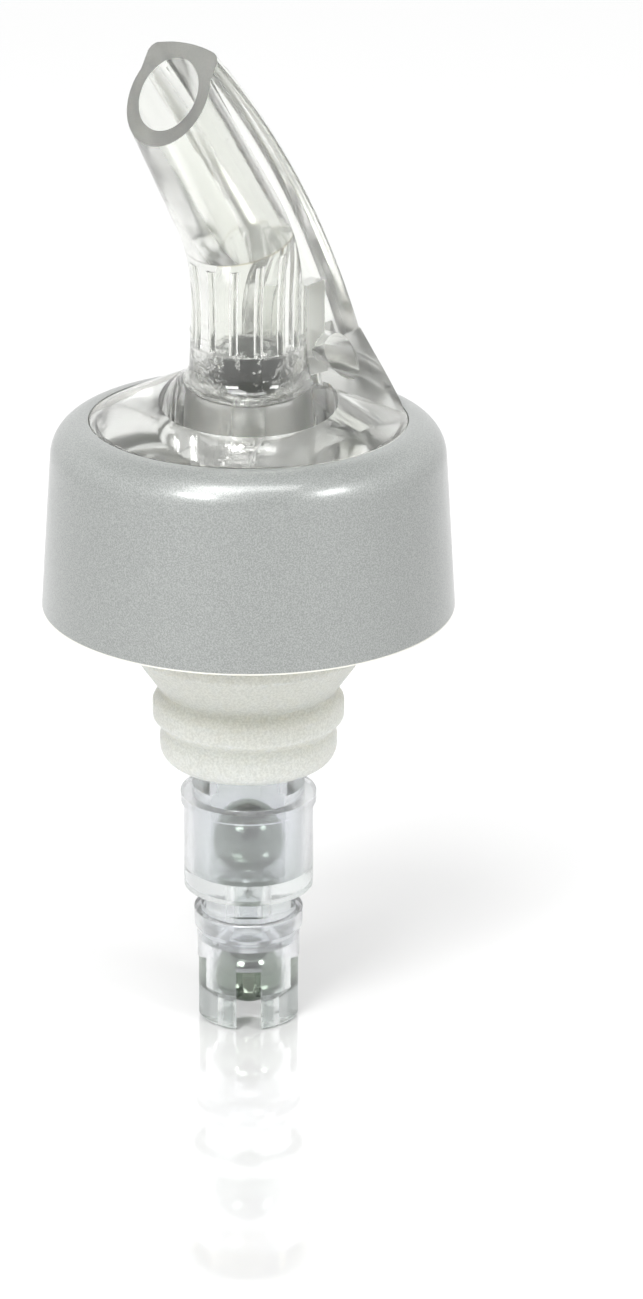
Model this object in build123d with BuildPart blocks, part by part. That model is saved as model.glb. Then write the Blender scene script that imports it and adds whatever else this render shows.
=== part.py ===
"""Measured liquor pour spout: a clear bent spout in a plastic collar, a soft ribbed stopper,
and under it a ball valve that shuts the flow off after one measure.

Millimetres. The origin is on the valve axis at the foot, +Z points up to the mouth, and the
spout pours towards -Y. The plane X = 0 is the spout's plane of symmetry.
"""

import os
from math import cos, degrees, radians, sin, sqrt

from build123d import *

# ---------------------------------------------------------------- fits
PRESS_GAP = 0.02            # between pieces that are pushed together and stay together
BALL_GAP = 0.03             # between a resting ball and the edge it rests on
VALVE_TURN = 40             # the valve's slots and windows are turned this far from the spout

# ---------------------------------------------------------------- balls
CHECK_BALL_R = 3.75
CHECK_BALL_Z = 4.96
SHUTOFF_BALL_R = 3.97
SHUTOFF_BALL_Z = 21.3

# ---------------------------------------------------------------- check cage
CAGE_R = 5.65
CAGE_BORE_R = 4.05
CAGE_HOOK_R = 2.9
CAGE_HOOK_RAMP = 1.0
CAGE_SLOT_W = 2.7
CAGE_SLOT_TOP_Z = 7.0
CAGE_RIM_R = 5.98
CAGE_RIM_H = 1.8
CAGE_RIM_RAMP = 0.6
CAGE_FOOT_CORNER_R = 0.35
CAGE_TOP_Z = 12.6
FINGER_COUNT = 4

# ---------------------------------------------------------------- timing cup
CUP_FOOT_Z = 9.2
CUP_NECK_R = 5.2
CUP_SEAT_R = 2.6
CUP_SEAT_DEPTH = 1.4
CUP_DRAIN_R = 1.6
CUP_UNDER_Z = 15.6
CUP_R = 7.1
CUP_LIP_R = 7.43
CUP_LIP_H = 1.3
CUP_LIP_RAMP = 0.3
CUP_RIM_Z = 26.4
CUP_CORNER_R = 1.5
FLAT_W = 4.6
FLAT_H = 2.1
FLAT_TOP_Z = 15.3
TIMING_PORT_R = 0.5

# ---------------------------------------------------------------- valve body
TUBE_R = 6.15
TUBE_BORE_R = 4.25
WINDOW_BOTTOM_Z = 27.5
WINDOW_TOP_Z = 30.9
WINDOW_ARC = 94
SEAT_Z = 33.5
SEAT_R = 3.0
TUBE_TOP_Z = 34.6
STEM_R = 4.0
STEM_TOP_Z = 77.0
CRUSH_RIB_COUNT = 12
CRUSH_RIB_W = 0.5
CRUSH_RIB_LEAD = 1.0

# ---------------------------------------------------------------- stopper
STOPPER_FOOT_Z = 30.2
STOPPER_FOOT_CORNER_R = 2.0
LOWER_RIB_R = 9.64
LOWER_RIB_H = 3.0
GROOVE_R = 9.45
MAIN_RIB_R = 10.4
MAIN_RIB_Z = 36.35
MAIN_RIB_HALF_H = 0.9
RIB_RAMP_H = 1.0
GROOVE_RAMP_H = 0.6
WAIST_R = 9.64
WAIST_TOP_Z = 38.8
WAIST_EDGE_R = 0.4
HEAD_R = 13.0
HEAD_EDGE_Z = 43.6
HEAD_TOP_Z = 47.0
HEAD_CHAMFER = 0.6
HEAD_CORNER_R = 0.8
SOFT_EDGE_R = 0.5
HUB_R = 5.9
HUB_TOP_Z = 57.0

# ---------------------------------------------------------------- vent
VENT_Y = 7.4
VENT_TUBE_R = 0.95
VENT_BORE_R = 0.55
VENT_BOSS_R = 2.0
VENT_TUBE_FOOT_Z = STOPPER_FOOT_Z + 0.3
VENT_TUBE_TOP_Z = 70.0
POCKET_X = 4.2
POCKET_Y = 3.0
POCKET_MIDDLE_Y = 6.9
POCKET_FOOT_Z = 71.5
POCKET_TOP_Z = 83.0
VENT_HOLE_R = 2.25
VENT_HOLE_Y = 8.7
VENT_HOLE_Z = 75.0

# ---------------------------------------------------------------- collar
COLLAR_FOOT_Z = 48.4
COLLAR_FOOT_R = 22.2
COLLAR_TOP_Z = 69.0
COLLAR_TOP_R = 20.82
COLLAR_SHOULDER_R = 4.0
COLLAR_OPENING_R = 17.0
COLLAR_ROOF = 1.8
COLLAR_EDGE = 0.8
COLLAR_STEP_H = 1.0
LUG_DEPTH = 0.7
LUG_EDGE_H = 0.5
LUG_H = 1.2
LUG_ROOT = 0.2
PLATE_POCKET_R = 18.6
KEY_W = 3.0
KEY_SLACK = 0.3
LUG_COUNT = 6
LUG_ARC = 9

# ---------------------------------------------------------------- spout base
PLATE_R = 18.4
PLATE_UNDER_Z = 65.6
PLATE_TOP_Z = COLLAR_TOP_Z - COLLAR_ROOF - PRESS_GAP
PLATE_INNER_R = 15.5
FLANGE_R = 16.85
RECESS_TOP_Z = 67.6
CONE_TOP_R = 6.4
CONE_TOP_Z = 73.9
SKIRT_R = 8.15
SKIRT_FOOT_Z = HEAD_TOP_Z + PRESS_GAP
SOCKET_TOP_Z = HUB_TOP_Z + 0.6
RELIEF_R = 5.4
RELIEF_TOP_Z = 70.8
NECK_BORE_R = 4.3

# ---------------------------------------------------------------- spout tube
NECK_R = 6.45
NECK_FOOT_Z = 70.0
NECK_FOOT_R = 6.2
NECK_FILLET_R = 2.5
TUBE_TILT = 33.2
BEND_Z = 87.2
BEND_R = 22.0
MOUTH_REACH = 22.9
MOUTH_TILT = 31.3
MOUTH_R = 4.82
MOUTH_BORE_R = 3.6
BORE_BEND_Z = 88.5
BEND_BORE_R = 3.3
FLUTED_BORE_R = 3.5
FLUTE_R = 0.4
FLUTE_COUNT = 10
FLUTE_STOP = 0.8
MOUTH_LAND = 6.0

# ---------------------------------------------------------------- gusset
GUSSET_W = 9.2
GUSSET_TOP = (-9.52, 111.0)
GUSSET_MIDDLE = (4.2, 95.1)
GUSSET_FOOT = (16.85, 69.6)
GUSSET_CROWN = 0.7
GUSSET_CORNER_R = 1.3
FLARE_FRONT_R = 2.5
FLARE_BACK_R = 11.0
FLARE_HOLLOW = 2.2          # radius of the flare's hollow sides over the flare's height
BELL_INSET = 0.25
ROOT = 1.0
SLAB_OVERRUN = 2             # degrees that the slab runs on past each end of its arc

tube_dir = Vector(0, -sin(radians(TUBE_TILT)), cos(radians(TUBE_TILT)))
bend = Vector(0, 0, BEND_Z)
mouth = bend + tube_dir * MOUTH_REACH
mouth_plane = Plane(origin=mouth, x_dir=(1, 0, 0),
                    z_dir=(0, -cos(radians(MOUTH_TILT)), sin(radians(MOUTH_TILT))))


def ball_rest_height(ball_z, ball_r, hole_r):
    """Height of a round hole's edge when a ball above it rests on that edge."""
    return ball_z - sqrt(ball_r**2 - hole_r**2) - BALL_GAP


# ---------------------------------------------------------------- balls
with BuildPart(Location((0, 0, CHECK_BALL_Z))) as check_ball:
    Sphere(CHECK_BALL_R)

with BuildPart(Location((0, 0, SHUTOFF_BALL_Z))) as shutoff_ball:
    Sphere(SHUTOFF_BALL_R)

# ---------------------------------------------------------------- check cage
# Four fingers with inward hooks carry the check ball. The socket above grips the cup's neck.
hook_top_z = ball_rest_height(CHECK_BALL_Z, CHECK_BALL_R, CAGE_HOOK_R)
with BuildPart() as check_cage:
    with BuildSketch(Plane.XZ):
        with BuildLine():
            Polyline(
                (CAGE_HOOK_R, 0), (CAGE_R, 0), (CAGE_R, CAGE_TOP_Z - CAGE_RIM_H - CAGE_RIM_RAMP),
                (CAGE_RIM_R, CAGE_TOP_Z - CAGE_RIM_H), (CAGE_RIM_R, CAGE_TOP_Z),
                (CUP_NECK_R + PRESS_GAP, CAGE_TOP_Z),
                (CUP_NECK_R + PRESS_GAP, CUP_FOOT_Z - PRESS_GAP),
                (CAGE_BORE_R, CUP_FOOT_Z - PRESS_GAP), (CAGE_BORE_R, hook_top_z + CAGE_HOOK_RAMP),
                (CAGE_HOOK_R, hook_top_z), close=True)
        make_face()
    revolve(axis=Axis.Z)
    with BuildSketch(Plane.XY):
        with PolarLocations(CAGE_R, FINGER_COUNT, start_angle=VALVE_TURN):
            Rectangle(2 * CAGE_BORE_R, CAGE_SLOT_W)
    extrude(amount=CAGE_SLOT_TOP_Z, mode=Mode.SUBTRACT)
    foot_edges = check_cage.edges().filter_by(Axis.Z, reverse=True).group_by(Axis.Z)[0]
    fillet(foot_edges.filter_by(GeomType.CIRCLE).group_by(SortBy.RADIUS)[-1],
           CAGE_FOOT_CORNER_R)

# ---------------------------------------------------------------- timing cup
# The cup fills behind the shut-off ball through one small port and drains past the check ball.
cup_floor_z = ball_rest_height(SHUTOFF_BALL_Z, SHUTOFF_BALL_R, CUP_DRAIN_R)
flat_distance = sqrt(CUP_NECK_R**2 - (FLAT_W / 2) ** 2)
with BuildPart() as timing_cup:
    with BuildSketch(Plane.XZ) as cup_half:
        with BuildLine():
            Polyline(
                (CUP_SEAT_R, CUP_FOOT_Z), (CUP_NECK_R, CUP_FOOT_Z), (CUP_NECK_R, CUP_UNDER_Z),
                (CUP_R, CUP_UNDER_Z), (CUP_R, CUP_RIM_Z - CUP_LIP_H),
                (CUP_LIP_R, CUP_RIM_Z - CUP_LIP_H + CUP_LIP_RAMP), (CUP_LIP_R, CUP_RIM_Z),
                (TUBE_R + PRESS_GAP, CUP_RIM_Z), (TUBE_R + PRESS_GAP, cup_floor_z),
                (CUP_DRAIN_R, cup_floor_z), (CUP_DRAIN_R, CUP_FOOT_Z + CUP_SEAT_DEPTH), close=True)
        make_face()
        fillet(cup_half.vertices().sort_by_distance((CUP_R, 0, CUP_UNDER_Z))[0], CUP_CORNER_R)
    revolve(axis=Axis.Z)
    with BuildSketch(Plane.XY.offset(FLAT_TOP_Z - FLAT_H)):
        with PolarLocations(flat_distance + CUP_NECK_R / 2, FINGER_COUNT, start_angle=VALVE_TURN):
            Rectangle(CUP_NECK_R, FLAT_W)
    extrude(amount=FLAT_H, mode=Mode.SUBTRACT)
    port_plane = Plane(origin=(0, 0, FLAT_TOP_Z - FLAT_H / 2),
                       z_dir=Vector(1, 0, 0).rotate(Axis.Z, VALVE_TURN + 90))
    with BuildSketch(port_plane):
        Circle(TIMING_PORT_R)
    extrude(amount=CUP_NECK_R, mode=Mode.SUBTRACT)

# ---------------------------------------------------------------- valve body
# A windowed tube guides the shut-off ball up to its seat. A stem carries the flow on to the spout.
with BuildPart() as valve_body:
    with BuildSketch(Plane.XZ):
        with BuildLine():
            Polyline(
                (TUBE_BORE_R, cup_floor_z + PRESS_GAP), (TUBE_R, cup_floor_z + PRESS_GAP),
                (TUBE_R, TUBE_TOP_Z), (STEM_R, TUBE_TOP_Z), (STEM_R, STEM_TOP_Z),
                (SEAT_R, STEM_TOP_Z), (SEAT_R, SEAT_Z), (TUBE_BORE_R, SEAT_Z), close=True)
        make_face()
    revolve(axis=Axis.Z)
    window_edge = Vector(2 * TUBE_R, 0).rotate(Axis.Z, WINDOW_ARC / 2)
    with BuildSketch(Plane.XY.offset(WINDOW_BOTTOM_Z)):
        with PolarLocations(0, 2, start_angle=VALVE_TURN):
            Polygon((0, 0), (window_edge.X, -window_edge.Y), (window_edge.X, window_edge.Y),
                    align=None)
    extrude(amount=WINDOW_TOP_Z - WINDOW_BOTTOM_Z, mode=Mode.SUBTRACT)
    with BuildSketch(Plane.XY.offset(RELIEF_TOP_Z)):
        with PolarLocations(STEM_R, CRUSH_RIB_COUNT):
            Rectangle(2 * (NECK_BORE_R - PRESS_GAP - STEM_R), CRUSH_RIB_W)
    extrude(amount=STEM_TOP_Z - RELIEF_TOP_Z - CRUSH_RIB_LEAD)

# ---------------------------------------------------------------- stopper
# Soft ribs seal in the bottle's neck, and the hub plugs into the spout's socket.
with BuildPart() as stopper:
    with BuildSketch(Plane.XZ):
        with BuildLine():
            bore_foot = (TUBE_R + PRESS_GAP, STOPPER_FOOT_Z)
            head_edge = (HEAD_R, HEAD_TOP_Z - HEAD_CHAMFER)
            lower_rib_top_z = STOPPER_FOOT_Z + LOWER_RIB_H
            FilletPolyline(
                bore_foot, (LOWER_RIB_R, STOPPER_FOOT_Z), (LOWER_RIB_R, lower_rib_top_z),
                (GROOVE_R, lower_rib_top_z + GROOVE_RAMP_H),
                (GROOVE_R, MAIN_RIB_Z - MAIN_RIB_HALF_H - RIB_RAMP_H),
                (MAIN_RIB_R, MAIN_RIB_Z - MAIN_RIB_HALF_H),
                (MAIN_RIB_R, MAIN_RIB_Z + MAIN_RIB_HALF_H),
                (WAIST_R, MAIN_RIB_Z + MAIN_RIB_HALF_H + RIB_RAMP_H), (WAIST_R, WAIST_TOP_Z),
                (HEAD_R, HEAD_EDGE_Z), head_edge,
                radius=(STOPPER_FOOT_CORNER_R, *[SOFT_EDGE_R] * 5, *[WAIST_EDGE_R] * 2,
                        HEAD_CORNER_R))
            Polyline(
                head_edge, (HEAD_R - HEAD_CHAMFER, HEAD_TOP_Z), (HUB_R, HEAD_TOP_Z),
                (HUB_R, HUB_TOP_Z), (STEM_R + PRESS_GAP, HUB_TOP_Z),
                (STEM_R + PRESS_GAP, TUBE_TOP_Z + PRESS_GAP),
                (TUBE_R + PRESS_GAP, TUBE_TOP_Z + PRESS_GAP), bore_foot)
        make_face()
    revolve(axis=Axis.Z)
    with Locations((0, VENT_Y, HEAD_TOP_Z)):
        Hole(VENT_TUBE_R + PRESS_GAP)

# ---------------------------------------------------------------- vent tube
# Air for the bottle comes down this tube from the side hole in the spout.
with BuildPart() as vent_tube:
    with BuildSketch(Plane.XY.offset(VENT_TUBE_FOOT_Z)):
        with Locations((0, VENT_Y)):
            Circle(VENT_TUBE_R)
            Circle(VENT_BORE_R, mode=Mode.SUBTRACT)
    extrude(amount=VENT_TUBE_TOP_Z - VENT_TUBE_FOOT_Z)

# ---------------------------------------------------------------- collar
# The roof holds the spout's base plate down, the lugs snap under it, and two keys stop it turning.
with BuildPart() as collar:
    with BuildSketch(Plane.XZ):
        with BuildLine():
            opening_edge = (COLLAR_OPENING_R, COLLAR_TOP_Z)
            FilletPolyline(
                (COLLAR_FOOT_R, COLLAR_FOOT_Z), (COLLAR_TOP_R, COLLAR_TOP_Z), opening_edge,
                radius=COLLAR_SHOULDER_R)
            Polyline(
                opening_edge, (COLLAR_OPENING_R, COLLAR_TOP_Z - COLLAR_ROOF),
                (PLATE_POCKET_R, COLLAR_TOP_Z - COLLAR_ROOF), (PLATE_POCKET_R, PLATE_UNDER_Z - LUG_H),
                (PLATE_POCKET_R + COLLAR_EDGE, PLATE_UNDER_Z - LUG_H - COLLAR_STEP_H),
                (COLLAR_FOOT_R - COLLAR_EDGE, COLLAR_FOOT_Z), (COLLAR_FOOT_R, COLLAR_FOOT_Z))
        make_face()
    revolve(axis=Axis.Z)
    for turn in range(0, 360, 360 // LUG_COUNT):
        lug_start = Plane((0, 0, 0), x_dir=Vector(1, 0, 0).rotate(Axis.Z, turn - LUG_ARC / 2),
                          z_dir=Vector(0, -1, 0).rotate(Axis.Z, turn - LUG_ARC / 2))
        with BuildSketch(lug_start):
            Polygon(
                (PLATE_POCKET_R + LUG_ROOT, PLATE_UNDER_Z - PRESS_GAP),
                (PLATE_POCKET_R - LUG_DEPTH, PLATE_UNDER_Z - PRESS_GAP),
                (PLATE_POCKET_R - LUG_DEPTH, PLATE_UNDER_Z - LUG_EDGE_H),
                (PLATE_POCKET_R + LUG_ROOT, PLATE_UNDER_Z - LUG_H), align=None)
        revolve(axis=Axis.Z, revolution_arc=LUG_ARC)
    key_in = COLLAR_OPENING_R + PRESS_GAP
    key_out = PLATE_POCKET_R + LUG_ROOT
    with BuildSketch(Plane.XY.offset(PLATE_UNDER_Z + KEY_SLACK)):
        with PolarLocations((key_in + key_out) / 2, 2, start_angle=90):
            Rectangle(key_out - key_in, KEY_W)
    extrude(amount=COLLAR_TOP_Z - COLLAR_ROOF - PLATE_UNDER_Z)

# ---------------------------------------------------------------- gusset of the spout
# A slab behind the tube. Its back is one long arc, crowned across and rounded at the corners.
back_edge = ThreePointArc(GUSSET_TOP, GUSSET_MIDDLE, GUSSET_FOOT)
back_centre = Vector(0, back_edge.arc_center.X, back_edge.arc_center.Y)
foot_spoke = (Vector(0, *GUSSET_FOOT) - back_centre).normalized()
foot_plane = Plane(back_centre, x_dir=(1, 0, 0), z_dir=Vector(1, 0, 0).cross(foot_spoke))
with BuildPart() as slab:
    with BuildSketch(foot_plane.rotated((-SLAB_OVERRUN, 0, 0))) as rim:
        with BuildLine():
            side_top = back_edge.radius - GUSSET_CROWN
            ThreePointArc((-GUSSET_W / 2, side_top), (0, back_edge.radius), (GUSSET_W / 2, side_top))
            Polyline(
                (GUSSET_W / 2, side_top), (GUSSET_W / 2, side_top - 2 * GUSSET_W),
                (-GUSSET_W / 2, side_top - 2 * GUSSET_W), (-GUSSET_W / 2, side_top))
        make_face()
        fillet(rim.vertices().group_by(Axis.Y)[-1], GUSSET_CORNER_R)
    revolve(axis=Axis(back_centre, (1, 0, 0)),
            revolution_arc=degrees(back_edge.length / back_edge.radius) + 2 * SLAB_OVERRUN)
    with BuildSketch(Plane.YZ):
        over_mouth = mouth + mouth_plane.z_dir * MOUTH_R + Vector(0, GUSSET_W, GUSSET_W)
        Polygon(
            (0, NECK_FOOT_Z), (0, BEND_Z), (mouth.Y, mouth.Z), (over_mouth.Y, over_mouth.Z),
            (2 * FLANGE_R, NECK_FOOT_Z), align=None)
    extrude(amount=GUSSET_W, both=True, mode=Mode.INTERSECT)

# The gusset's sides spread into the flange in a slightly hollow flare that grows towards the
# rim. Its back is bell-shaped: the gusset's own back line turned about the valve axis.
cone_slope = (CONE_TOP_Z - COLLAR_TOP_Z) / (FLANGE_R - CONE_TOP_R)
with BuildPart() as bell:
    with BuildSketch(Plane.XZ):
        with BuildLine():
            bell_line = back_edge.trim(0.5, 1).moved(Location((-BELL_INSET, 0, 0)))
            add(bell_line)
            bell_foot_z = COLLAR_TOP_Z - FLARE_BACK_R
            Polyline(
                bell_line @ 1, ((bell_line @ 1).X, bell_foot_z), (0, bell_foot_z),
                (0, (bell_line @ 0).Y), bell_line @ 0)
        make_face()
    revolve(axis=Axis.Z)

with BuildPart() as gusset:
    for section_y, hollow_r in ((0, FLARE_FRONT_R), (FLANGE_R, FLARE_BACK_R)):
        half_w = GUSSET_W / 2 + hollow_r
        foot_r = sqrt(section_y**2 + half_w**2)
        foot_z = CONE_TOP_Z - cone_slope * (foot_r - CONE_TOP_R)
        with BuildSketch(Plane.XZ.offset(-section_y)):
            with BuildLine():
                RadiusArc((half_w, foot_z), (GUSSET_W / 2, foot_z + hollow_r),
                          FLARE_HOLLOW * hollow_r)
                RadiusArc((-GUSSET_W / 2, foot_z + hollow_r), (-half_w, foot_z),
                          FLARE_HOLLOW * hollow_r)
                Line((GUSSET_W / 2, foot_z + hollow_r), (-GUSSET_W / 2, foot_z + hollow_r))
                Line((-half_w, foot_z), (half_w, foot_z))
            make_face()
    loft()
    add(bell.part, mode=Mode.INTERSECT)
    add(slab.part)
    # Trimmed to the flange: inside its rim, and rooted just below its surface
    with BuildSketch(Plane.XZ):
        Polygon(
            (0, mouth.Z + MOUTH_R), (0, CONE_TOP_Z - ROOT), (CONE_TOP_R, CONE_TOP_Z - ROOT),
            (FLANGE_R, COLLAR_TOP_Z - ROOT), (FLANGE_R, mouth.Z + MOUTH_R), align=None)
    revolve(axis=Axis.Z, mode=Mode.INTERSECT)

# ---------------------------------------------------------------- flow bore of the spout
# A fluted straight bore and a bore that widens towards the mouth meet in a mitred ledge. The
# flutes stop just short of it.
bore_bend = Vector(0, 0, BORE_BEND_Z)
bore_reach = (mouth - bore_bend).length
bore_dir = (mouth - bore_bend).normalized()
mitre_plane = Plane(bore_bend, x_dir=(1, 0, 0), z_dir=(bore_dir + Vector(0, 0, 1)).normalized())
with BuildPart() as upper_core:
    for along, bore_r in ((-2 * BEND_BORE_R, BEND_BORE_R), (bore_reach - MOUTH_LAND, MOUTH_BORE_R)):
        with BuildSketch(Plane(bore_bend + bore_dir * along, x_dir=(1, 0, 0), z_dir=bore_dir)):
            Circle(bore_r)
    loft()
    extrude(upper_core.faces().sort_by(Axis.Z)[-1], amount=MOUTH_LAND + 2 * MOUTH_BORE_R)
    split(bisect_by=mitre_plane, keep=Keep.TOP)

with BuildPart() as lower_core:
    with BuildSketch(Plane.XY.offset(STEM_TOP_Z)):
        Circle(FLUTED_BORE_R)
    extrude(amount=BORE_BEND_Z + 2 * BEND_BORE_R - STEM_TOP_Z)
    split(bisect_by=mitre_plane, keep=Keep.BOTTOM)

with BuildPart() as flow_core:
    with BuildSketch(Plane.XY.offset(STEM_TOP_Z)):
        with PolarLocations(FLUTED_BORE_R, FLUTE_COUNT):
            Circle(FLUTE_R)
    extrude(amount=BORE_BEND_Z + 2 * BEND_BORE_R - STEM_TOP_Z)
    split(bisect_by=mitre_plane.offset(-FLUTE_STOP), keep=Keep.BOTTOM)
    add(lower_core.part)
    add(upper_core.part)

# ---------------------------------------------------------------- spout
with BuildPart() as pour_spout:
    # Turned base: plate under the collar's roof, conical flange, neck foot and socket skirt
    with BuildSketch(Plane.XZ):
        with BuildLine():
            flange_rim = (FLANGE_R, COLLAR_TOP_Z)
            neck_side = (NECK_FOOT_R, CONE_TOP_Z + 2 * NECK_FILLET_R)
            FilletPolyline(
                flange_rim, (NECK_FOOT_R, CONE_TOP_Z - cone_slope * (NECK_FOOT_R - CONE_TOP_R)),
                neck_side, radius=NECK_FILLET_R)
            Polyline(
                neck_side, (0, CONE_TOP_Z + 2 * NECK_FILLET_R), (0, SKIRT_FOOT_Z),
                (SKIRT_R, SKIRT_FOOT_Z), (SKIRT_R, RECESS_TOP_Z),
                (PLATE_INNER_R, RECESS_TOP_Z), (PLATE_INNER_R, PLATE_UNDER_Z),
                (PLATE_R, PLATE_UNDER_Z), (PLATE_R, PLATE_TOP_Z), (FLANGE_R, PLATE_TOP_Z),
                flange_rim)
        make_face()
    revolve(axis=Axis.Z)
    # Neck and tube in one smooth bend, tapering to the mouth, with the gusset behind it
    with BuildLine():
        outer_line = FilletPolyline(
            (0, 0, NECK_FOOT_Z), bend, mouth + tube_dir * MOUTH_R, radius=BEND_R)
    with BuildSketch(Plane.XY.offset(NECK_FOOT_Z)):
        Circle(NECK_R)
    with BuildSketch(Plane(origin=outer_line @ 1, x_dir=(1, 0, 0), z_dir=tube_dir)):
        Circle(MOUTH_R)
    sweep(path=outer_line, multisection=True)
    add(gusset.part)
    split(bisect_by=mouth_plane, keep=Keep.BOTTOM)
    # Boss for the vent tube on the back of the skirt
    with Locations((0, VENT_Y, SKIRT_FOOT_Z)):
        Cylinder(VENT_BOSS_R, VENT_TUBE_TOP_Z - SKIRT_FOOT_Z + VENT_BOSS_R,
                 align=(Align.CENTER, Align.CENTER, Align.MIN))
    # Flow bore: socket for the stopper's hub, relief, seat for the stem, then the mitred bend
    with Locations((0, 0, SKIRT_FOOT_Z)):
        for bore_r, bore_top_z in ((HUB_R + PRESS_GAP, SOCKET_TOP_Z), (RELIEF_R, RELIEF_TOP_Z),
                                   (NECK_BORE_R, STEM_TOP_Z + PRESS_GAP)):
            Cylinder(bore_r, bore_top_z - SKIRT_FOOT_Z,
                     align=(Align.CENTER, Align.CENTER, Align.MIN), mode=Mode.SUBTRACT)
    add(flow_core.part, mode=Mode.SUBTRACT)
    # Vent: a bore for the tube, a pocket up inside the gusset and a hole out of its side
    with Locations((0, VENT_Y, SKIRT_FOOT_Z)):
        Cylinder(VENT_TUBE_R + PRESS_GAP, POCKET_FOOT_Z - SKIRT_FOOT_Z,
                 align=(Align.CENTER, Align.CENTER, Align.MIN), mode=Mode.SUBTRACT)
    with Locations((0, POCKET_MIDDLE_Y, POCKET_FOOT_Z)):
        Box(POCKET_X, POCKET_Y, POCKET_TOP_Z - POCKET_FOOT_Z,
            align=(Align.CENTER, Align.CENTER, Align.MIN), mode=Mode.SUBTRACT)
    with BuildSketch(Plane.YZ):
        with Locations((VENT_HOLE_Y, VENT_HOLE_Z)):
            Circle(VENT_HOLE_R)
    extrude(amount=GUSSET_W, mode=Mode.SUBTRACT)
    # Notches in the plate for the collar's keys
    with BuildSketch(Plane.XY.offset(PLATE_UNDER_Z)):
        with PolarLocations(PLATE_R, 2, start_angle=90):
            Rectangle(2 * (PLATE_R - FLANGE_R), KEY_W + KEY_SLACK)
    extrude(amount=PLATE_TOP_Z - PLATE_UNDER_Z, mode=Mode.SUBTRACT)

# ---------------------------------------------------------------- export
pieces = {
    "pour_spout": pour_spout, "collar": collar, "stopper": stopper, "valve_body": valve_body,
    "timing_cup": timing_cup, "check_cage": check_cage, "vent_tube": vent_tube,
    "shutoff_ball": shutoff_ball, "check_ball": check_ball,
}
os.makedirs("parts", exist_ok=True)
for name, piece in pieces.items():
    piece.part.label = name
    export_step(piece.part, f"parts/{name}.step")
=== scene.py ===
import math

import bpy
from mathutils import Matrix, Vector

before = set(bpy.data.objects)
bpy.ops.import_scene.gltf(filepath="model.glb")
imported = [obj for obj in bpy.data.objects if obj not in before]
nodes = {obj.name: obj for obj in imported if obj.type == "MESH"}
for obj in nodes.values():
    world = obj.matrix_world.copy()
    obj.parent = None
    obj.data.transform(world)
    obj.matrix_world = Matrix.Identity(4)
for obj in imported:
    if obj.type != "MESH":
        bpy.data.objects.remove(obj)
scene = bpy.context.scene
MM = 0.001
PER_METRE = 1000.0              # millimetres in a metre: masks are worked out in millimetres


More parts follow.
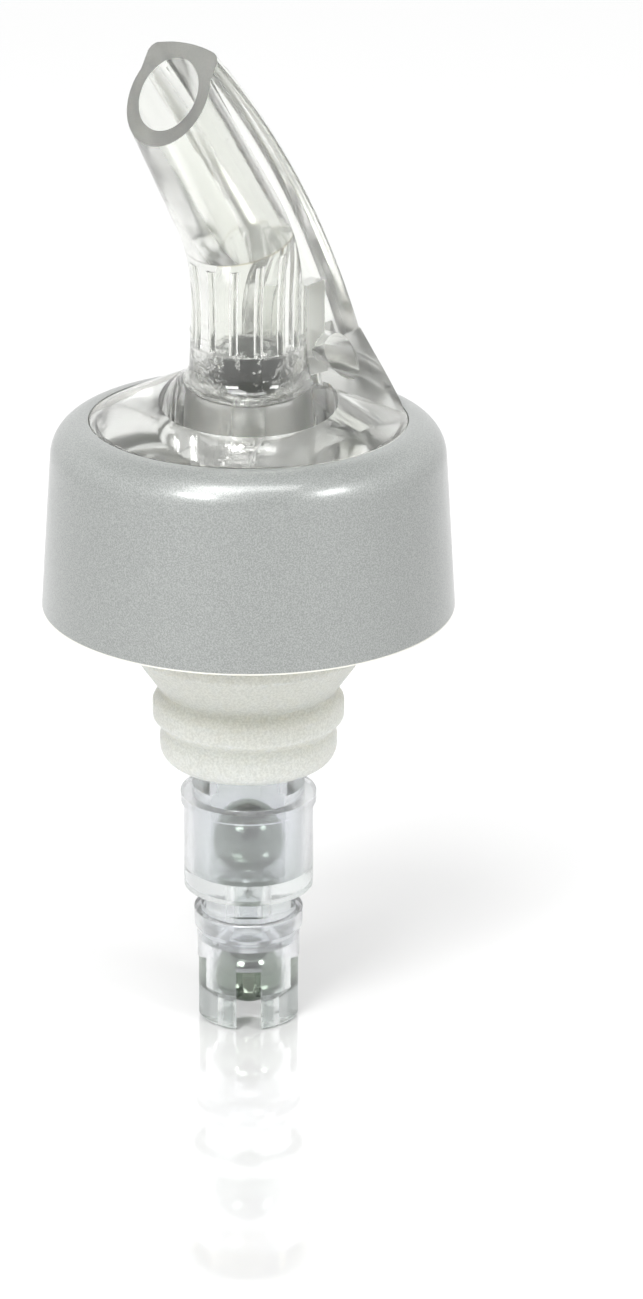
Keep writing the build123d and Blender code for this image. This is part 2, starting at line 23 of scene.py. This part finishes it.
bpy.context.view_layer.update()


# ---------------------------------------------------------------- node helpers
class Graph:
    """A material's node tree, with short calls for the nodes used below."""

    def __init__(self, name):
        self.material = bpy.data.materials.new(name)
        self.material.use_nodes = True
        self.tree = self.material.node_tree
        self.tree.nodes.clear()
        self.output = self.node("ShaderNodeOutputMaterial")
        self.shader = self.node("ShaderNodeBsdfPrincipled")
        self.link(self.shader.outputs["BSDF"], self.output.inputs["Surface"])
        self.coords = self.node("ShaderNodeTexCoord")

    def node(self, kind, **settings):
        made = self.tree.nodes.new(kind)
        for key, value in settings.items():
            setattr(made, key, value)
        return made

    def link(self, source, socket):
        self.tree.links.new(source, socket)

    def put(self, socket, value):
        if isinstance(value, bpy.types.NodeSocket):
            self.link(value, socket)
        else:
            socket.default_value = value

    def set(self, **values):
        """Sets shader sockets: base_color=..., roughness=... and so on."""
        for key, value in values.items():
            label = key.replace("_", " ").title().replace("Ior", "IOR")
            self.put(self.shader.inputs[label], value)

    def math(self, operation, *values):
        made = self.node("ShaderNodeMath", operation=operation)
        for socket, value in zip(made.inputs, values):
            self.put(socket, value)
        return made.outputs[0]

    def dot(self, vector, direction):
        made = self.node("ShaderNodeVectorMath", operation="DOT_PRODUCT")
        self.put(made.inputs[0], vector)
        self.put(made.inputs[1], direction)
        return made.outputs["Value"]

    def scaled(self, vector, factors):
        made = self.node("ShaderNodeVectorMath", operation="MULTIPLY")
        self.put(made.inputs[0], vector)
        self.put(made.inputs[1], factors)
        return made.outputs[0]

    def noise(self, scale, detail=2.0, roughness=0.5, stretch=None):
        made = self.node("ShaderNodeTexNoise")
        vector = self.coords.outputs["Object"]
        if stretch:
            vector = self.scaled(vector, stretch)
        self.link(vector, made.inputs["Vector"])
        made.inputs["Scale"].default_value = scale
        made.inputs["Detail"].default_value = detail
        made.inputs["Roughness"].default_value = roughness
        return made.outputs["Fac"]

    def ramp(self, value, low, high, to_low=0.0, to_high=1.0):
        made = self.node("ShaderNodeMapRange", interpolation_type="SMOOTHSTEP")
        for socket, number in zip(made.inputs, (value, low, high, to_low, to_high)):
            self.put(socket, number)
        return made.outputs[0]

    def mix(self, factor, first, second):
        made = self.node("ShaderNodeMix", data_type="RGBA")
        self.put(made.inputs["Factor"], factor)
        for socket, colour in zip((s for s in made.inputs if s.type == "RGBA"), (first, second)):
            self.put(socket, colour)
        return next(s for s in made.outputs if s.type == "RGBA")

    def bump(self, height, distance, normal=None):
        made = self.node("ShaderNodeBump")
        made.inputs["Strength"].default_value = 1.0
        made.inputs["Distance"].default_value = distance
        self.link(height, made.inputs["Height"])
        if normal:
            self.link(normal, made.inputs["Normal"])
        return made.outputs["Normal"]

    def place(self):
        """The surface point's x, y and z, and its distance from the valve axis, in mm."""
        split = self.node("ShaderNodeSeparateXYZ")
        self.link(self.coords.outputs["Object"], split.inputs[0])
        x, y, z = (self.math("MULTIPLY", end, PER_METRE) for end in split.outputs)
        squares = [self.math("MULTIPLY", end, end) for end in (x, y)]
        return x, y, z, self.math("SQRT", self.math("ADD", *squares))

    def between(self, value, low, high, soft=0.05):
        """1 where value lies from low to high, with soft ends."""
        rise = self.ramp(value, low - soft, low + soft)
        fall = self.ramp(value, high - soft, high + soft, 1.0, 0.0)
        return self.math("MULTIPLY", rise, fall)

    def all_of(self, *masks):
        total = masks[0]
        for mask in masks[1:]:
            total = self.math("MULTIPLY", total, mask)
        return total

    def height_above(self, point, direction):
        """Distance of the surface point from the plane through point, along direction, in mm."""
        flat = self.dot(self.coords.outputs["Object"], direction)
        offset = sum(a * b for a, b in zip(point, direction))
        return self.math("MULTIPLY", self.math("SUBTRACT", flat, offset), PER_METRE)

    def distance_from_line(self, point, direction):
        """Distance of the surface point from the line through point, along direction, in mm."""
        offset = self.node("ShaderNodeVectorMath", operation="SUBTRACT")
        self.put(offset.inputs[0], self.coords.outputs["Object"])
        self.put(offset.inputs[1], point)
        across = self.node("ShaderNodeVectorMath", operation="CROSS_PRODUCT")
        self.put(across.inputs[0], offset.outputs[0])
        self.put(across.inputs[1], direction)
        length = self.node("ShaderNodeVectorMath", operation="LENGTH")
        self.put(length.inputs[0], across.outputs[0])
        return self.math("MULTIPLY", length.outputs["Value"], PER_METRE)


def rgb(red, green, blue):
    return (red, green, blue, 1.0)


# ---------------------------------------------------------------- materials
# Places on the spout in metres, as part.py has them
MOUTH_CENTRE = (0.0, -12.54 * MM, 106.36 * MM)
MOUTH_NORMAL = (0.0, -0.8545, 0.5195)
BEND = (0.0, 0.0, 88.5 * MM)                # where the two cores of the bore meet
BORE_AXIS = (0.0, -0.5746, 0.8184)
MITRE_NORMAL = (0.0, -0.3013, 0.9535)
VENT_HOLE = (0.0, 8.7 * MM, 75.0 * MM)

# Regions of the spout in millimetres: the lowest and highest value of a radius or coordinate
INSIDE = -1.0                               # a lower end that no radius reaches
SOCKET_R, SOCKET_Z = 6.0, (46.0, 71.0)
POCKET_X, POCKET_Y, POCKET_Z = (-2.2, 2.2), (5.3, 8.5), (71.4, 83.1)
PRESS_R, PRESS_Z = 5.9, (71.0, 77.2)        # where the valve's stem is pressed in
FOOT_Y, FOOT_Z = (8.0, 20.0), (60.0, 80.0)  # the gusset's foot
BORE_R = 3.8
LEDGE_R, LEDGE_H = 4.0, 0.12                # the parting ring between the two cores
VENT_R, VENT_X = 1.3, (2.2, 4.45)
FACE_DEPTH = 0.15                           # how near the mouth's plane counts as its face
CRACK_AT, CRACK_W = 0.56, 0.025             # the noise value that cracks follow, and their width

# Collar in millimetres
SHELL_R, SHELL_SLOPE = 27.5, 0.12           # radius + slope * z is below SHELL_R on the inside
ROOF_Z = 67.3                               # the inside ends under the roof
COAT_END_Z = 48.55                          # below it the foot's edge is bare

# Bands of the valve drawn greyer, in millimetres
VALVE_BANDS = ((14.0, 18.0), (-3.0, 7.0))


def spout_plastic():
    """Clear styrene: polished outside and dull where its cores drew. It is crazed where the stem
    is pressed in,
    with painted shade there: dark patches in the colour stand in for the seat's dark refractions.
    It is satin on the sawn mouth face."""
    g = Graph("clear_spout")
    x, y, z, radius = g.place()
    near = g.math("ABSOLUTE", g.height_above(MOUTH_CENTRE, MOUTH_NORMAL))
    facing = g.dot(g.coords.outputs["Normal"], MOUTH_NORMAL)
    face = g.all_of(g.math("LESS_THAN", near, FACE_DEPTH), g.ramp(facing, 0.90, 0.99))
    socket = g.all_of(g.between(radius, INSIDE, SOCKET_R), g.between(z, *SOCKET_Z, 0.5))
    pocket = g.all_of(g.between(x, *POCKET_X), g.between(y, *POCKET_Y), g.between(z, *POCKET_Z))
    press = g.all_of(g.between(radius, INSIDE, PRESS_R), g.between(z, *PRESS_Z, 0.6))
    foot = g.all_of(g.between(y, *FOOT_Y, 1.0), g.between(z, *FOOT_Z, 2.0))
    past_bend = g.height_above(BEND, BORE_AXIS)
    off_axis = g.distance_from_line(BEND, BORE_AXIS)
    bore = g.all_of(g.between(off_axis, INSIDE, BORE_R), g.ramp(past_bend, -0.5, 0.5))
    off_mitre = g.height_above(BEND, MITRE_NORMAL)
    ledge = g.all_of(g.between(off_mitre, -LEDGE_H, LEDGE_H, 0.04),
                     g.between(radius, INSIDE, LEDGE_R))
    off_hole = g.distance_from_line(VENT_HOLE, (1.0, 0.0, 0.0))
    vent_painted_shade = g.all_of(g.between(off_hole, INSIDE, VENT_R), g.between(x, *VENT_X))

    rough = g.ramp(g.noise(90.0, 3.0), 0.3, 0.7, 0.03, 0.07)
    body = g.mix(g.noise(60.0), rgb(0.930, 0.945, 0.905), rgb(0.950, 0.957, 0.925))
    patches = g.noise(330.0, 5.0, 0.65, stretch=(1.0, 1.0, 0.8))
    # painted shade: dark patches where the stem is pressed in stand in for the dark refractions
    # of the seat
    painted_dark_patches = g.all_of(press, g.ramp(patches, 0.54, 0.59, 1.0, 0.0))
    body = g.mix(painted_dark_patches, body, rgb(0.010, 0.012, 0.008))
    body = g.mix(ledge, body, rgb(0.66, 0.60, 0.44))
    # painted shade: the vent hole's inside is darkened where shade falls in it
    body = g.mix(vent_painted_shade, body, rgb(0.10, 0.11, 0.09))
    saw = g.noise(4000.0, 3.0, 0.6)
    sawn = g.mix(saw, rgb(0.58, 0.58, 0.56), rgb(0.78, 0.78, 0.75))
    g.set(base_color=g.mix(face, body, sawn))
    for mask, amount in ((face, 0.5), (socket, 0.25), (foot, 0.14), (bore, 0.08), (pocket, 0.30)):
        rough = g.math("ADD", rough, g.math("MULTIPLY", mask, amount))
    g.set(roughness=rough, transmission_weight=0.96, ior=1.57)
    flow = g.noise(140.0, 2.0, stretch=(1.0, 1.0, 0.35))
    normal = g.bump(flow, 0.000004)
    normal = g.bump(g.math("MULTIPLY", patches, press), 0.0005, normal=normal)
    edge = g.math("ABSOLUTE", g.math("SUBTRACT", patches, CRACK_AT))
    crack = g.all_of(press, g.ramp(edge, 0.0, CRACK_W, 1.0, 0.0))
    g.set(normal=g.bump(crack, 0.0003, normal=normal))
    return g.material


def valve_plastic():
    """The clear plastic of the metering valve: cooler than the spout, clouded in patches, greyer
    in two bands, and with a fine moulding grain."""
    g = Graph("clear_valve")
    haze = g.ramp(g.noise(170.0, 4.0, 0.6), 0.35, 0.65)
    grain = g.noise(2600.0, 3.0, 0.6)
    tint = g.mix(haze, rgb(0.965, 0.972, 1.0), rgb(0.87, 0.90, 0.885))
    tint = g.mix(g.ramp(grain, 0.35, 0.65), tint, rgb(0.95, 0.96, 0.975))
    z = g.place()[2]
    grey_bands = g.math("MAXIMUM", *(g.between(z, *band, 1.5) for band in VALVE_BANDS))
    band_grey = g.mix(haze, rgb(0.90, 0.92, 0.92), rgb(0.78, 0.82, 0.80))
    g.set(base_color=g.mix(grey_bands, tint, band_grey))
    g.set(roughness=g.math("ADD", g.math("MULTIPLY", haze, 0.07),
                           g.ramp(grain, 0.3, 0.7, 0.02, 0.06)))
    g.set(transmission_weight=0.93, ior=1.50)
    g.set(normal=g.bump(grain, 0.00002, normal=g.bump(g.noise(260.0, 2.0), 0.00001)))
    return g.material


def collar_plastic():
    """Cream plastic collar, coated outside in semi-gloss pearl grey with a fine grain. The bare
    plastic shows as a thin line where the coating stops at the foot. The inside is drawn in the
    same light cream, partly as bare plastic and partly as painted light standing in for light
    through the thin shell."""
    g = Graph("pearl_grey")
    _, _, z, radius = g.place()
    wall = g.math("MULTIPLY_ADD", z, SHELL_SLOPE, radius)
    # painted light: the inside is lightened to cream, partly the bare plastic and partly light
    # through the thin shell
    inside = g.all_of(g.ramp(wall, SHELL_R - 0.05, SHELL_R + 0.05, 1.0, 0.0),
                      g.ramp(z, ROOF_Z - 0.1, ROOF_Z + 0.1, 1.0, 0.0))
    bare_and_painted_light = g.math("MAXIMUM", inside, g.ramp(z, COAT_END_Z - 0.05, COAT_END_Z + 0.05, 1.0, 0.0))
    grain = g.noise(7000.0, 2.0, 0.6)
    cloud = g.noise(60.0, 3.0)
    tone = g.mix(g.ramp(grain, 0.35, 0.65), rgb(0.235, 0.248, 0.24), rgb(0.335, 0.348, 0.338))
    g.set(base_color=g.mix(bare_and_painted_light, tone, rgb(0.78, 0.77, 0.71)))
    g.set(metallic=0.15, roughness=g.ramp(cloud, 0.3, 0.7, 0.30, 0.38))
    g.set(coat_weight=0.6, coat_roughness=0.14)
    g.set(normal=g.bump(grain, 0.00001))
    return g.material


def stopper_rubber():
    """Translucent cream thermoplastic rubber, speckled, with a frosted moulded skin."""
    g = Graph("cream_rubber")
    frost = g.noise(5200.0, 3.0, 0.6)
    speckle = g.noise(3800.0, 3.0, 0.7)
    g.set(base_color=g.mix(g.ramp(speckle, 0.35, 0.65),
                           rgb(0.54, 0.55, 0.505), rgb(0.66, 0.67, 0.622)))
    g.set(subsurface_weight=1.0, subsurface_radius=(1.0, 0.9, 0.75), subsurface_scale=0.012)
    g.set(roughness=g.ramp(frost, 0.3, 0.7, 0.38, 0.52))
    g.set(normal=g.bump(frost, 0.00002))
    return g.material


def vent_plastic():
    """Milky extruded vent tube."""
    g = Graph("milky_tube")
    streak = g.noise(900.0, 2.0, stretch=(1.0, 1.0, 0.04))
    g.set(base_color=g.mix(streak, rgb(0.78, 0.79, 0.78), rgb(0.86, 0.87, 0.86)))
    g.set(subsurface_weight=0.4, subsurface_radius=(1.0, 1.0, 0.9), subsurface_scale=0.001)
    g.set(roughness=g.ramp(streak, 0.3, 0.7, 0.25, 0.4))
    g.set(normal=g.bump(streak, 0.00001))
    return g.material


def ball_steel():
    """Polished bearing-grade steel with the finest handling scratches."""
    g = Graph("ball_steel")
    scratch = g.noise(2500.0, 4.0, 0.7, stretch=(1.0, 0.15, 1.0))
    cloud = g.noise(300.0, 2.0)
    g.set(base_color=g.mix(cloud, rgb(0.215, 0.25, 0.205), rgb(0.275, 0.31, 0.262)))
    g.set(metallic=1.0, roughness=g.ramp(scratch, 0.45, 0.75, 0.02, 0.06))
    g.set(normal=g.bump(scratch, 0.000003))
    return g.material


looks = {
    "pour_spout": spout_plastic(),
    "collar": collar_plastic(),
    "stopper": stopper_rubber(),
    "vent_tube": vent_plastic(),
}
clear = valve_plastic()
for name in ("valve_body", "timing_cup", "check_cage"):
    looks[name] = clear
steel = ball_steel()
for name in nodes:
    if "ball" in name:
        looks[name] = steel
for name, node in nodes.items():
    for index in range(len(node.material_slots)):
        node.material_slots[index].material = looks[name]


# ---------------------------------------------------------------- studio
def sheet(name, size_x, size_y, matrix, material):
    """A flat staged sheet, centred on its matrix."""
    mesh = bpy.data.meshes.new(name)
    x, y = size_x / 2, size_y / 2
    mesh.from_pydata([(-x, -y, 0), (x, -y, 0), (x, y, 0), (-x, y, 0)], [], [(0, 1, 2, 3)])
    mesh.materials.append(material)
    made = bpy.data.objects.new(name, mesh)
    made.matrix_world = matrix
    scene.collection.objects.link(made)


floor_look = Graph("floor_white")
floor_look.set(base_color=rgb(0.88, 0.88, 0.88), roughness=0.05, ior=1.6, metallic=0.35)
floor_look.set(normal=floor_look.bump(floor_look.noise(6.0), 0.0001))
sheet("floor", 6.0, 6.0, Matrix.Translation((0, 0, -0.0001)), floor_look.material)


def facing(location, target):
    """A matrix at location whose -Z axis looks at target, with Z up."""
    location, target = Vector(location), Vector(target)
    turn = (target - location).to_track_quat("-Z", "Y")
    return Matrix.Translation(location) @ turn.to_matrix().to_4x4()


MIDDLE = Vector((0.0, 0.0, 55.3 * MM))
AZIMUTH, ELEVATION, DISTANCE = 40.0, 19.5, 0.450    # the camera, seen from the middle


def around(azimuth, elevation, distance):
    """A point seen from the object's middle: azimuth 0 is the -Y side, 90 is +X."""
    a, e = math.radians(azimuth), math.radians(elevation)
    ray = Vector((math.sin(a) * math.cos(e), -math.cos(a) * math.cos(e), math.sin(e)))
    return MIDDLE + ray * distance


def softbox(name, azimuth, elevation, distance, width, height, power):
    """A soft rectangular light that faces the object."""
    light = bpy.data.lights.new(name, "AREA")
    light.shape = "RECTANGLE"
    light.size, light.size_y = width, height
    light.energy = power
    made = bpy.data.objects.new(name, light)
    made.matrix_world = facing(around(azimuth, elevation, distance), MIDDLE)
    scene.collection.objects.link(made)


ROOM = 0.60                     # world brightness that lights matt surfaces, all round
# World brightness that gloss and glass see
HORIZON = 1.0                   # low down, all round
CEILING = 0.10                  # overhead
FRONT = 0.10                    # multiplies the two above, high up in front of the object
FRONT_ELEVATION = 48.0


def sun(name, azimuth, elevation, spread, strength):
    """A distant light whose disc is spread degrees wide."""
    light = bpy.data.lights.new(name, "SUN")
    light.angle = math.radians(spread)
    light.energy = strength
    made = bpy.data.objects.new(name, light)
    made.matrix_world = facing(around(azimuth, elevation, 1.0), MIDDLE)
    scene.collection.objects.link(made)


sun("key", azimuth=9, elevation=60, spread=24, strength=1.0)
softbox("overhead", azimuth=40, elevation=72, distance=0.8, width=0.55, height=0.20, power=2.2)
softbox("left", azimuth=6, elevation=40, distance=0.9, width=0.30, height=0.20, power=3.8)
softbox("right", azimuth=95, elevation=38, distance=0.9, width=0.24, height=0.22, power=2.4)

world = bpy.data.worlds.new("studio")
scene.world = world
world.use_nodes = True
tree = world.node_tree
tree.nodes.clear()


def world_node(kind, **settings):
    made = tree.nodes.new(kind)
    for key, value in settings.items():
        setattr(made, key, value)
    return made


def world_ramp(source, low, high, to_low, to_high):
    made = world_node("ShaderNodeMapRange", interpolation_type="SMOOTHSTEP")
    for socket, number in zip(made.inputs[1:5], (low, high, to_low, to_high)):
        socket.default_value = number
    tree.links.new(source, made.inputs[0])
    return made.outputs[0]


out = world_node("ShaderNodeOutputWorld")
back = world_node("ShaderNodeBackground")
tree.links.new(back.outputs[0], out.inputs[0])
where = world_node("ShaderNodeTexCoord")
split = world_node("ShaderNodeSeparateXYZ")
tree.links.new(where.outputs["Generated"], split.inputs[0])
ceiling = world_ramp(split.outputs["Z"], 0.45, 0.85, HORIZON, CEILING)
path = world_node("ShaderNodeLightPath")
strength = world_node("ShaderNodeMix", data_type="FLOAT")
tree.links.new(path.outputs["Is Diffuse Ray"], strength.inputs[0])
toward = world_node("ShaderNodeVectorMath", operation="DOT_PRODUCT")
tree.links.new(where.outputs["Generated"], toward.inputs[0])
toward.inputs[1].default_value = around(AZIMUTH, FRONT_ELEVATION, 1.0) - MIDDLE
front = world_ramp(toward.outputs["Value"], 0.62, 0.92, 1.0, FRONT)
seen = world_node("ShaderNodeMath", operation="MULTIPLY")
tree.links.new(ceiling, seen.inputs[0])
tree.links.new(front, seen.inputs[1])
tree.links.new(seen.outputs[0], strength.inputs[2])
strength.inputs[3].default_value = ROOM
tree.links.new(strength.outputs[0], back.inputs["Strength"])
back.inputs["Color"].default_value = rgb(1.0, 1.0, 1.0)

# ---------------------------------------------------------------- camera
LENS, SENSOR = 116.5552, 36.0   # millimetres, with the sensor along the frame's height

camera_data = bpy.data.cameras.new("camera")
camera = bpy.data.objects.new("camera", camera_data)
scene.collection.objects.link(camera)
scene.camera = camera
camera_data.sensor_fit = "VERTICAL"
camera_data.sensor_height = SENSOR
camera_data.lens = LENS
camera_data.clip_start, camera_data.clip_end = 0.01, 20.0
camera.matrix_world = facing(around(AZIMUTH, ELEVATION, DISTANCE), MIDDLE)
camera_data.shift_x, camera_data.shift_y = 0.0562, -0.0843

scene.view_settings.view_transform = "Standard"
scene.cycles.max_bounces = 24
scene.cycles.transmission_bounces = 20
scene.cycles.glossy_bounces = 8
